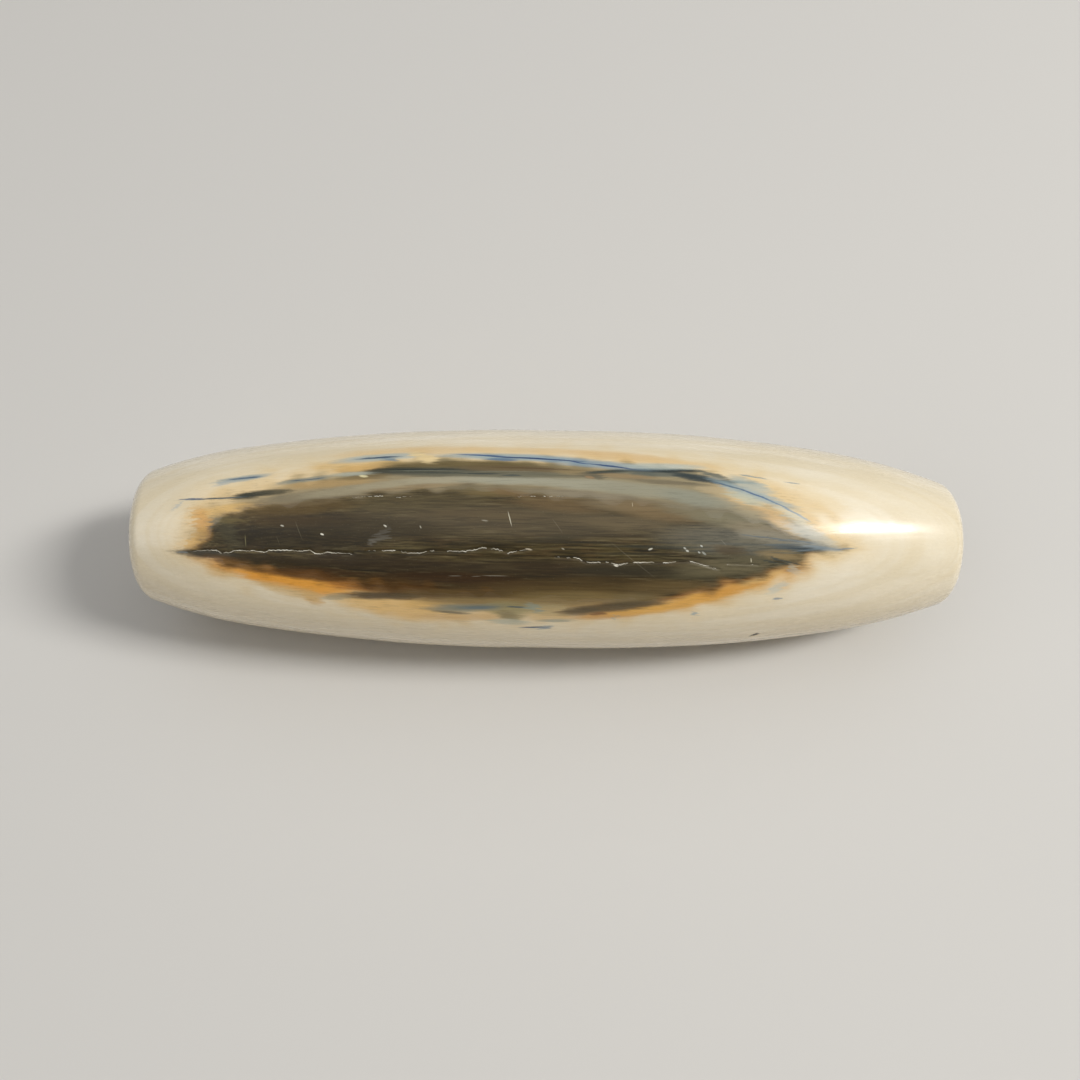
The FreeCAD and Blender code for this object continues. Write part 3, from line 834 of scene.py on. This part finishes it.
SMALL_MARKS_AND_GOUGE_SHADE = [
    # painted shadow: this first mark darkens the knocked gouge for the shade in its hollow; the rest are pale
    # chips, spots and fine scratches
    (13.28, 65.4, 13.62, 63.2, 0.14, 30, 25, 18, 0.97),
    (-2.62, -12.6, -2.42, -6.6, 0.032, 196, 190, 168, 0.9),
    (-14.1, -1.3, -14, -1, 0.054, 232, 228, 212, 1),
    (-16.62, -5.8, -16.5, -5.5, 0.05, 196, 192, 176, 0.95),
    (-10.2, -5.9, -10.1, -5.4, 0.05, 206, 202, 186, 0.95),
    (8.2, 3.6, 8.28, 4, 0.05, 190, 190, 178, 0.85),
    (8.36, 4.9, 8.44, 5.2, 0.055, 206, 206, 194, 0.9),
    (9.24, 2.4, 9.3, 2.8, 0.05, 198, 200, 190, 0.85),
    (9.1, 5.6, 9.16, 5.9, 0.05, 186, 188, 178, 0.8),
    (9.36, 5.7, 9.52, 6.7, 0.058, 176, 178, 168, 0.75),
    (6.05, 4.5, 6.2, 4.1, 0.054, 206, 202, 184, 0.95),
    (12.4, 9, 12.42, 10.6, 0.032, 206, 200, 172, 0.9),
    (-11.85, -33.4, -11.5, -32.9, 0.094, 220, 210, 164, 0.9),
    (2.2, -32.2, 2.6, -31.6, 0.1, 160, 128, 88, 0.6),
    (-8, -5.6, -7.95, -4.8, 0.036, 176, 172, 154, 0.8),
    (-4.2, -8.7, -3.9, -8.4, 0.043, 152, 146, 130, 0.75),
    (-1.5, 4.8, -1.2, 5.2, 0.05, 196, 184, 160, 0.85),
    (0.7, 4.4, 0.8, 4.8, 0.04, 170, 164, 144, 0.8),
    (3.95, 12.4, 4.1, 12.8, 0.05, 226, 222, 206, 0.95),
    (3.8, 2, 6.3, 17.6, 0.013, 128, 120, 102, 0.6),
    (0.1, -9.6, 0.7, -3.2, 0.012, 134, 126, 106, 0.55),
    (-18.9, 0, -18.85, 6, 0.029, 124, 118, 82, 0.75),
    (-15.75, -8, -15.3, 1.4, 0.014, 116, 108, 84, 0.6),
    (-16.9, 0.4, -16.7, 4.8, 0.013, 112, 104, 80, 0.55),
    (10.5, -0.4, 10.8, 2, 0.016, 146, 142, 128, 0.6),
    (5, -18.2, 5.02, -16.4, 0.022, 196, 184, 156, 0.7),
    (-6.2, 18.8, -5.5, 18.7, 0.018, 146, 140, 126, 0.7),
    (-4.8, 18.8, -4.3, 18.6, 0.018, 146, 140, 126, 0.6),
    (-4.1, 18.3, -2.7, 18.3, 0.02, 150, 144, 130, 0.75),
]
# each layer's marks and their softness, from 0 for a hard edge to 1 for a plain blur
MARK_LAYERS = {
    "amber_marks": (AMBER_MARKS, 1.0), "bark_marks": (BARK_MARKS, 0.95), "olive_marks": (OLIVE_MARKS, 1.0),
    "grey_marks": (GREY_MARKS, 0.8), "dark_marks": (DARK_MARKS, 0.8), "blue_marks": (BLUE_MARKS, 1.0),
    "blue_lines": (BLUE_LINES, 0.8), "small_marks_and_gouge_shade": (SMALL_MARKS_AND_GOUGE_SHADE, 0.7),
}


# ---------------------------------------------------------------- the ivory's pattern

def surface_places(g):
    """Object position and its parts, the angle a, and the flat place (x, distance round, 1)."""
    position = g.position()
    x, y, z = g.separated(position)
    turn = g.math("ARCTAN2", g.math("MULTIPLY", y, -1.0), z)
    angle = g.math("SUBTRACT", g.math("DEGREES", turn), PATCH_TURN)
    flat = g.combined(x, g.math("MULTIPLY", angle, FACET), 1.0)
    return position, (x, y, z), angle, flat


def growth_height(g, position):
    """Height in the tusk over the bead's axis: its growth layers are nearly round the tusk's axis."""
    toward_rind = (0, -math.sin(math.radians(PATCH_TURN)), math.cos(math.radians(PATCH_TURN)))
    sideways = (0, toward_rind[2], -toward_rind[1])
    aside = g.vector("DOT_PRODUCT", position, sideways)
    straight = g.vector("DOT_PRODUCT", position, (0.015, toward_rind[1], toward_rind[2]))
    return g.math("MULTIPLY_ADD", g.math("MULTIPLY", aside, aside), 1 / (2 * TUSK_AXIS_DEPTH), straight)


def field(g, name):
    return g.node("ShaderNodeAttribute", attribute_name=name).outputs["Fac"]


def chips(g, position, scale):
    """Scattered cells: the distance from each one's middle, and its own random colour."""
    cells_of = g.node("ShaderNodeTexVoronoi", feature="F1")
    g.feed(cells_of.inputs["Vector"], g.scaled(position, scale))
    return cells_of.outputs["Distance"], cells_of.outputs["Color"]


def lay_mark(g, colour, place, mark, softness):
    """One mark on the skin: a spindle of colour between two places.

    The place's third part is 1, so a dot product both turns and shifts it into the mark's frame.
    """
    start_x, start_a, end_x, end_a, width, *tint, strength = mark
    first, last = Vector((start_x, start_a * FACET)), Vector((end_x, end_a * FACET))
    middle = (first + last) / 2
    along = (last - first).normalized()
    across = Vector((-along.y, along.x))
    reach = []
    for axis, half in ((along, (last - first).length / 2 + width), (across, width)):
        reach.append(g.vector("DOT_PRODUCT", place, (axis.x / half, axis.y / half, -middle.dot(axis) / half)))
    squared = g.math("MULTIPLY", reach[0], reach[0])
    squared = g.math("MULTIPLY_ADD", reach[1], reach[1], squared)
    share = g.span(squared, (1 + 0.50 * softness)**2, (1 - 0.85 * softness)**2, 0.0, strength)
    return g.mix(share, colour, srgb(*tint))


def mark_layer(name, marks, softness):
    """Node group that lays a list of marks over a colour."""
    tree = bpy.data.node_groups.new(name, "ShaderNodeTree")
    for socket, kind, in_out in (("Colour", "NodeSocketColor", "INPUT"),
                                 ("Place", "NodeSocketVector", "INPUT"),
                                 ("Colour", "NodeSocketColor", "OUTPUT")):
        tree.interface.new_socket(socket, in_out=in_out, socket_type=kind)
    g = Graph(tree)
    colour, place = g.node("NodeGroupInput").outputs[:2]
    for mark in marks:
        colour = lay_mark(g, colour, place, mark, softness)
    g.feed(g.node("NodeGroupOutput").inputs[0], colour)
    return tree


def lay_marks(g, colour, place, layer):
    """The colour with a group of marks laid over it.

    A billionth of the colour joins the place, which changes nothing to see: it makes the renderer
    work the layers out one after another, so that they never fill its shader memory together.
    """
    place = g.vector("MULTIPLY_ADD", colour, (1e-9, 1e-9, 1e-9), place)
    group = g.node("ShaderNodeGroup", node_tree=layer)
    g.feed(group.inputs[0], colour)
    g.feed(group.inputs[1], place)
    return group.outputs[0]


def ivory_pattern():
    """Node group for the whole bead's skin: colour, roughness and fine height."""
    layers = {name: mark_layer(name, *layer) for name, layer in MARK_LAYERS.items()}
    tree = bpy.data.node_groups.new("ivory_pattern", "ShaderNodeTree")
    for name, kind in (("Colour", "NodeSocketColor"), ("Roughness", "NodeSocketFloat"),
                       ("Height", "NodeSocketFloat")):
        tree.interface.new_socket(name, in_out="OUTPUT", socket_type=kind)
    g = Graph(tree)
    position, (x, y, z), angle, flat = surface_places(g)

    def grain(along, across, output=0, **settings):
        """Noise drawn out along x, as the tusk's fibres are."""
        return g.noise(g.scaled(position, (along, across, across)), **settings).outputs[output]

    fibre = grain(0.42, 9.0, detail=3.0, roughness=0.6)
    streak = grain(0.16, 2.6, detail=3.0, roughness=0.55)
    cloud = grain(0.10, 0.32, detail=2.0)
    edge_noise = grain(0.55, 2.2, detail=4.0, roughness=0.65)
    edge_shift = g.math("SUBTRACT", edge_noise, 0.5)
    feather = grain(0.30, 5.0, detail=4.0, roughness=0.65)
    feather_shift = g.math("SUBTRACT", feather, 0.5)

    # cream dentine, faintly banded by the tusk's growth layers, and darker and warmer low in front: partly
    # its own tone, partly painted shade of the underside
    layer_place = g.combined(growth_height(g, position), g.math("MULTIPLY", x, 0.03))
    layers_wide = g.noise(layer_place, scale=1.5, detail=3.0, roughness=0.7).outputs[0]
    colour = g.mix(g.span(cloud, 0.35, 0.68), srgb(236, 224, 197), srgb(243, 233, 210))
    colour = g.tinted(colour, (layers_wide, 0.42, 0.60, 0.40, (226, 209, 172)),
                      (streak, 0.46, 0.75, 0.22, (226, 210, 174)),
                      (fibre, 0.52, 0.78, 0.14, (214, 198, 162)),
                      (fibre, 0.46, 0.26, 0.16, (248, 240, 220)))
    # painted shade, in part: the lower front is darkened and warmed for the shade under it, as well as for
    # its own tone
    low_front_tone_and_shade = g.math("MULTIPLY", g.span(y, 0.0, -4.5), g.span(z, 5.0, -2.0, 0.0, 0.55))
    colour = g.mix(low_front_tone_and_shade, colour, srgb(222, 200, 158))

    # warm stain soaking out of the rind, then the stained rind itself
    patch_in, bark_in = field(g, "patch_in"), field(g, "bark_in")
    soaked = g.math("MULTIPLY_ADD", feather_shift, 0.9, g.math("MULTIPLY_ADD", edge_shift, 0.8, patch_in))
    colour = g.tinted(colour, (soaked, -2.2, 0.8, 0.60, (232, 208, 160)),
                      (soaked, -0.8, 1.3, 0.70, (220, 188, 130)))
    back = g.span(angle, -8.0, -18.0)
    bed = g.span(soaked, 0.1, 1.3, 0.0, 0.90)
    bed = g.math("MULTIPLY", bed, g.math("MULTIPLY", g.span(x, -19.0, -14.0), g.span(x, 12.5, 9.0)))
    colour = g.mix(g.math("MULTIPLY", back, bed), colour, srgb(134, 124, 95))
    front = g.span(angle, -4.0, 8.0)
    near_bark = g.math("MULTIPLY_ADD", feather_shift, 0.8,
                       g.math("MULTIPLY_ADD", edge_shift, 0.45, bark_in))
    off_tips = g.math("MULTIPLY", g.span(x, -23.4, -20.6), g.span(x, 17.4, 14.2))
    for low, high, strength, back_shade, front_shade in (
            (-1.7, -0.4, 0.75, (146, 132, 100), (222, 174, 102)),
            (-0.9, 0.1, 0.90, (124, 110, 80), (172, 116, 54))):
        rim = g.math("MULTIPLY", off_tips, g.span(near_bark, low, high, 0.0, strength))
        colour = g.mix(rim, colour, g.mix(front, srgb(*back_shade), srgb(*front_shade)))

    # natural marks follow the fibres with a slight waver
    slow = g.vector("SUBTRACT", grain(0.30, 1.1, "Color", detail=1.0), (0.5, 0.5, 0.5))
    quick = g.vector("SUBTRACT", grain(1.5, 7.5, "Color", detail=3.0, roughness=0.7), (0.5, 0.5, 0.5))
    place = g.vector("MULTIPLY_ADD", slow, (0.50, 0.16, 0.0), flat)
    place = g.vector("MULTIPLY_ADD", quick, (0.80, 0.085, 0.0), place)
    place = g.vector("ADD", g.combined(g.math("MULTIPLY", feather_shift, 2.2)), place)
    calm = g.vector("MULTIPLY_ADD", slow, (0.0, 0.16, 0.0), flat)
    calm = g.vector("MULTIPLY_ADD", quick, (0.30, 0.050, 0.0), calm)
    colour = lay_marks(g, colour, place, layers["amber_marks"])

    # the dark bark, browner in front and greyer towards the right tip
    bark = g.mix(g.span(streak, 0.32, 0.70), srgb(62, 52, 30), srgb(90, 79, 50))
    bark = g.tinted(bark, (edge_noise, 0.44, 0.66, 0.55, (86, 68, 44)),
                    (angle, 6.0, -14.0, 0.42, (84, 72, 44)),
                    (angle, 10.0, 20.0, 0.45, (58, 44, 24)),
                    (x, 4.0, 14.0, 0.55, (106, 104, 88)),
                    (feather, 0.50, 0.60, 0.52, (43, 36, 21)),
                    (feather, 0.46, 0.36, 0.38, (110, 98, 68)),
                    (fibre, 0.48, 0.64, 0.70, (35, 31, 20)),
                    (fibre, 0.44, 0.28, 0.55, (124, 113, 84)))
    colour = g.mix(g.span(near_bark, -0.55, 0.50), colour, bark)
    for name in ("bark_marks", "olive_marks", "grey_marks", "dark_marks", "blue_marks"):
        colour = lay_marks(g, colour, place, layers[name])
    colour = lay_marks(g, colour, calm, layers["blue_lines"])

    # fibres show through every stain near the right tip and along the back bands
    from_tip = g.scaled(g.vector("SUBTRACT", flat, (14.0, 0.35, 0.0)), (0.33, 0.85, 1.0))
    tip = g.span(g.vector("LENGTH", from_tip), 1.1, 0.4)
    tip_fibre = grain(0.9, 13.0, detail=2.0, distortion=0.4)
    tip_share = g.math("MULTIPLY", tip, g.span(tip_fibre, 0.52, 0.62, 0.0, 0.75))
    colour = g.mix(tip_share, colour, srgb(84, 92, 92))
    in_stain = g.span(patch_in, -0.6, 0.8)
    fine_share = g.math("MULTIPLY", in_stain, g.span(fibre, 0.50, 0.72, 0.0, 0.22))
    colour = g.mix(fine_share, colour, srgb(52, 46, 36))

    # pale chips and finer dust in the bark: each where its own choice of cells has one
    in_bark = g.span(bark_in, 0.1, 0.6)
    chip, _ = chips(g, position, (1.5, 2.1, 2.1))
    chosen = g.span(g.noise(position, scale=0.8).outputs[0], 0.48, 0.62)
    dust, cell = chips(g, position, (1.8, 2.6, 2.6))
    few = g.span(g.vector("DOT_PRODUCT", cell, (1, 0, 0)), 0.76, 0.80)
    for distance, reach, core, where, shade in ((chip, 0.085, 0.04, chosen, (172, 164, 142)),
                                                (dust, 0.13, 0.06, few, (158, 150, 128))):
        share = g.math("MULTIPLY", g.span(distance, reach, core, 0.0, 0.75), where)
        colour = g.mix(g.math("MULTIPLY", share, in_bark), colour, srgb(*shade))
    # small chips, spots and scratches, with the painted shadow in the gouge among them
    colour = lay_marks(g, colour, flat, layers["small_marks_and_gouge_shade"])

    # polish: glossier dentine, slightly duller bark, hairline scratches along and across
    hair = grain(0.25, 22.0, detail=2.0, roughness=0.7)
    cross = grain(16.0, 1.2, detail=2.0, roughness=0.7)
    roughness = g.math("ADD", g.span(in_bark, 0.0, 1.0, 0.27, 0.33), g.span(streak, 0.3, 0.7, -0.03, 0.04))
    roughness = g.math("ADD", roughness, g.span(hair, 0.55, 0.75, 0.0, 0.10), clamp=True)
    relief = g.math("MULTIPLY_ADD", hair, 0.30, g.math("MULTIPLY", fibre, 0.9))
    relief = g.math("MULTIPLY_ADD", cross, 0.12, relief)

    output = g.node("NodeGroupOutput")
    for name, socket in (("Colour", colour), ("Roughness", roughness), ("Height", relief)):
        tree.links.new(socket, output.inputs[name])
    return tree


def new_material(name):
    """A material, its shader, and the tools that add nodes to it."""
    material = bpy.data.materials.new(name)
    material.use_nodes = True
    return material, material.node_tree.nodes["Principled BSDF"], Graph(material.node_tree)


def polished(name, pattern, bump, coat, shine):
    """Polished natural material with the shared pattern: bump in mm, coat and shine are the polish."""
    material, shader, g = new_material(name)
    group = g.node("ShaderNodeGroup", node_tree=pattern)
    g.feed(shader.inputs["Base Color"], group.outputs["Colour"])
    g.feed(shader.inputs["Roughness"], group.outputs["Roughness"])
    relief = g.node("ShaderNodeBump")
    relief.inputs["Strength"].default_value = 1.0
    relief.inputs["Distance"].default_value = bump * MM
    g.feed(relief.inputs["Height"], group.outputs["Height"])
    g.feed(shader.inputs["Normal"], relief.outputs[0])
    shader.inputs["IOR"].default_value = 1.54
    shader.inputs["Specular IOR Level"].default_value = shine
    shader.inputs["Coat Weight"].default_value = coat
    shader.inputs["Coat Roughness"].default_value = 0.13
    shader.inputs["Coat IOR"].default_value = 1.5
    return material


def mineral_material():
    """Chalky mineral that fills the cracks, whiter and greyer in turns."""
    material, shader, g = new_material("crack_mineral")
    position = g.position()
    grain = g.noise(position, scale=3.2, detail=3.0, roughness=0.7).outputs[0]
    patches = g.noise(position, scale=0.9, detail=1.0).outputs[0]
    colour = g.mix(g.span(patches, 0.35, 0.62), srgb(160, 152, 132), srgb(224, 219, 203))
    colour = g.mix(g.span(grain, 0.45, 0.7, 0.0, 0.7), colour, srgb(238, 234, 220))
    g.feed(shader.inputs["Base Color"], colour)
    g.feed(shader.inputs["Roughness"], g.span(grain, 0.3, 0.7, 0.55, 0.75))
    return material


def floor_material():
    material, shader, _ = new_material("studio_floor")
    shader.inputs["Base Color"].default_value = srgb(208, 206, 202)
    shader.inputs["Roughness"].default_value = 0.85
    shader.inputs["Specular IOR Level"].default_value = 0.2
    return material


# ---------------------------------------------------------------- studio

def add_light(name, toward, distance, size, power, tint, spin=0.0):
    """Rectangular soft light, looking at the bead from a direction, turned by spin about it."""
    light = bpy.data.lights.new(name, "AREA")
    light.shape = "RECTANGLE"
    light.size, light.size_y = size
    light.energy = power
    light.color = tint
    lamp = bpy.data.objects.new(name, light)
    direction = Vector(toward).normalized()
    lamp.location = direction * distance
    turn = Quaternion((0, 0, 1), math.radians(spin))
    lamp.rotation_euler = (direction.to_track_quat("Z", "Y") @ turn).to_euler()
    bpy.context.scene.collection.objects.link(lamp)
    return lamp


def add_studio():
    size = 3.0
    floor_mesh = bpy.data.meshes.new("floor")
    corners = [(-size, -size, FLOOR_Z), (size, -size, FLOOR_Z), (size, size, FLOOR_Z), (-size, size, FLOOR_Z)]
    floor_mesh.from_pydata(corners, [], [(0, 1, 2, 3)])
    floor_mesh.materials.append(floor_material())
    floor = bpy.data.objects.new("floor", floor_mesh)
    bpy.context.scene.collection.objects.link(floor)

    world = bpy.data.worlds.new("studio")
    world.use_nodes = True
    background = world.node_tree.nodes["Background"]
    background.inputs["Color"].default_value = (0.93, 0.96, 1.0, 1.0)
    background.inputs["Strength"].default_value = 0.08
    bpy.context.scene.world = world

    # the window's own light, and the narrow slanting pane of it that the polish mirrors
    window = add_light("window", (0.655, -0.08, 0.75), 0.50, (0.115, 0.150), 0.85, (1.0, 0.985, 0.955))
    window.visible_glossy = False
    add_light("window_pane", (0.655, -0.08, 0.75), 0.50, (0.066, 0.185), 1.00, (1.0, 0.985, 0.955), 37.0)
    add_light("ceiling", (0.0, 0.22, 0.97), 0.60, (1.10, 0.90), 1.90, (1.0, 0.99, 0.98))
    add_light("fill", (-0.62, -0.38, 0.70), 0.60, (0.60, 0.50), 0.74, (1.0, 0.985, 0.965))
    bpy.context.scene.view_settings.view_transform = "Standard"


def add_camera():
    """Looks down at the bead from the front, nearly square to the patch."""
    azimuth, elevation, roll = math.radians(-2.07), math.radians(62.63), math.radians(2.49)
    aim = Vector((-0.54, -0.08, 0)) * MM
    distance = 75.9 * MM
    back = Vector((math.sin(azimuth) * math.cos(elevation), -math.cos(azimuth) * math.cos(elevation),
                   math.sin(elevation)))
    level = Vector((math.cos(azimuth), math.sin(azimuth), 0))
    upright = back.cross(level)
    right = level * math.cos(roll) + upright * math.sin(roll)
    up = back.cross(right)
    camera_data = bpy.data.cameras.new("camera")
    camera_data.sensor_width = 36.0
    camera_data.lens = 37.43
    camera_data.clip_start = 0.001
    camera = bpy.data.objects.new("camera", camera_data)
    camera.matrix_world = Matrix((right, up, back)).transposed().to_4x4()
    camera.location = aim + back * distance
    bpy.context.scene.collection.objects.link(camera)
    bpy.context.scene.camera = camera


# ---------------------------------------------------------------- build

def settle(piece, node, material):
    """Give a piece its material, attach it to its body, and hide the CAD node that it stands for."""
    piece.data.materials.append(material)
    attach(piece, ROOT_BODY)
    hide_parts(node)


def main():
    surface = Surface()
    pattern = ivory_pattern()
    settle(make_dentine(surface), "dentine_body",
           polished("dentine", pattern, bump=0.0003, coat=0.55, shine=0.50))
    cementum_top = np.where((surface.bark > 0)[..., None], surface.under_bark, surface.skin)
    cementum = make_layer("cementum_layer", surface, (1, 2), surface.patch, cementum_top,
                          surface.under_patch)
    settle(cementum, "inner_cementum",
           polished("stained_cementum", pattern, bump=0.002, coat=0.30, shine=0.40))
    bark = make_layer("bark_layer", surface, (2,), surface.bark, surface.skin, surface.under_bark)
    settle(bark, "outer_bark", polished("bark", pattern, bump=0.007, coat=0.06, shine=0.20))
    settle(make_filling(), "crack_filling", mineral_material())
    add_studio()
    add_camera()


main()
